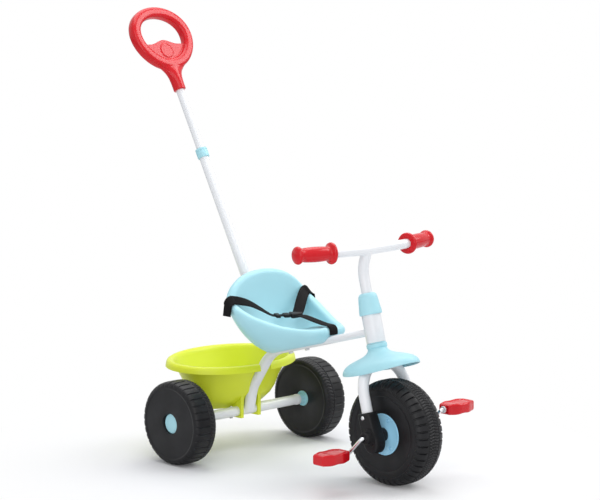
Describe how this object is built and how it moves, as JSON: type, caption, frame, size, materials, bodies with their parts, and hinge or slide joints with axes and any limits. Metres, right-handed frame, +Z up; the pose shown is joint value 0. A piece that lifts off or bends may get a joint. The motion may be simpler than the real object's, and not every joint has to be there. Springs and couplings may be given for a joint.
{
  "type": "tricycle",
  "caption": "Child's tricycle with a telescopic push handle, bucket seat with a harness, pedals on the front wheel and a rear basket.",
  "frame": {"origin": "on the ground, under the middle of the object's box", "axes": "+Z up, the rider faces -Y, the rider's left is +X"},
  "size_m": [0.4704, 0.9149, 1.0072],
  "materials": {
    "white_paint": "smooth white powder coat",
    "white_plastic": "moulded white plastic",
    "sky_plastic": "satin light blue moulding",
    "lime_plastic": "satin lime moulding",
    "red_plastic": "glossy red moulding",
    "tyre_plastic": "blow-moulded black plastic, dull sheen",
    "black_plastic": "black moulding",
    "webbing": "woven black webbing",
    "bare_steel": "zinc-plated steel",
    "crank_steel": "chromed steel rod"
  },
  "bodies": {
    "frame": {"main_tube": "white_paint", "head_tube": "white_paint", "steering_bush_upper": "sky_plastic", "steering_bush_lower": "sky_plastic", "rear_axle_beam": "white_paint", "rear_axle_rod": "bare_steel", "axle_nut_left": "bare_steel", "axle_nut_right": "bare_steel", "axle_lock_bolt": "bare_steel", "pole_socket": "white_paint", "push_pole_lower": "white_paint", "pole_collar": "sky_plastic", "seat": "sky_plastic", "seat_bolt_front": "bare_steel", "seat_bolt_rear": "bare_steel", "lap_strap_left": "webbing", "lap_strap_right": "webbing", "crotch_strap": "webbing", "buckle_body": "black_plastic", "buckle_tongue": "black_plastic", "strap_slider": "black_plastic", "basket": "lime_plastic"},
    "steering": {"fork": "white_paint", "steerer_tube": "white_paint", "fender": "sky_plastic", "upper_collar": "sky_plastic", "stem": "white_paint", "handlebar": "white_paint", "stem_screw": "bare_steel", "grip_left": "red_plastic", "grip_right": "red_plastic", "bearing_block_left": "black_plastic", "bearing_block_right": "black_plastic", "block_bolt_left": "bare_steel", "block_bolt_right": "bare_steel"},
    "front_wheel": {"front_tyre": "tyre_plastic", "hub_disc_left": "sky_plastic", "hub_disc_right": "sky_plastic", "hub_collar_left": "black_plastic", "hub_collar_right": "black_plastic", "crank_axle": "crank_steel", "pedal_nut_left": "bare_steel", "pedal_nut_right": "bare_steel"},
    "left_pedal": {"pedal_left": "red_plastic", "pedal_bush_left": "white_plastic"},
    "right_pedal": {"pedal_right": "red_plastic", "pedal_bush_right": "white_plastic"},
    "rear_wheel_left": {"rear_tyre_left": "tyre_plastic", "rear_bush_left": "sky_plastic", "rear_cap_left": "sky_plastic"},
    "rear_wheel_right": {"rear_tyre_right": "tyre_plastic", "rear_bush_right": "sky_plastic", "rear_cap_right": "sky_plastic"},
    "push_bar": {"push_pole_upper": "white_paint", "push_handle": "red_plastic"}
  },
  "joints": [
    {"name": "steering_turn", "type": "hinge", "parent": "frame", "child": "steering", "pos_m": [0, -0.33722, 0.1135], "axis": [0, 0.2629, 0.9648], "range_deg": [-40, 40]},
    {"name": "front_wheel_spin", "type": "hinge", "parent": "steering", "child": "front_wheel", "pos_m": [0, -0.34272, 0.115], "axis": [1, 0, 0], "continuous": true},
    {"name": "left_pedal_spin", "type": "hinge", "parent": "front_wheel", "child": "left_pedal", "pos_m": [0.1558, -0.3777, 0.15198], "axis": [1, 0, 0], "continuous": true},
    {"name": "right_pedal_spin", "type": "hinge", "parent": "front_wheel", "child": "right_pedal", "pos_m": [-0.1558, -0.30775, 0.07802], "axis": [1, 0, 0], "continuous": true},
    {"name": "rear_wheel_left_spin", "type": "hinge", "parent": "frame", "child": "rear_wheel_left", "pos_m": [0.2035, 0.12588, 0.0946], "axis": [1, 0, 0], "continuous": true},
    {"name": "rear_wheel_right_spin", "type": "hinge", "parent": "frame", "child": "rear_wheel_right", "pos_m": [-0.2035, 0.12588, 0.0946], "axis": [1, 0, 0], "continuous": true},
    {"name": "push_bar_slide", "type": "slide", "parent": "frame", "child": "push_bar", "axis": [0, 0.4741, 0.8805], "range_m": [-0.12, 0.1]}
  ]
}
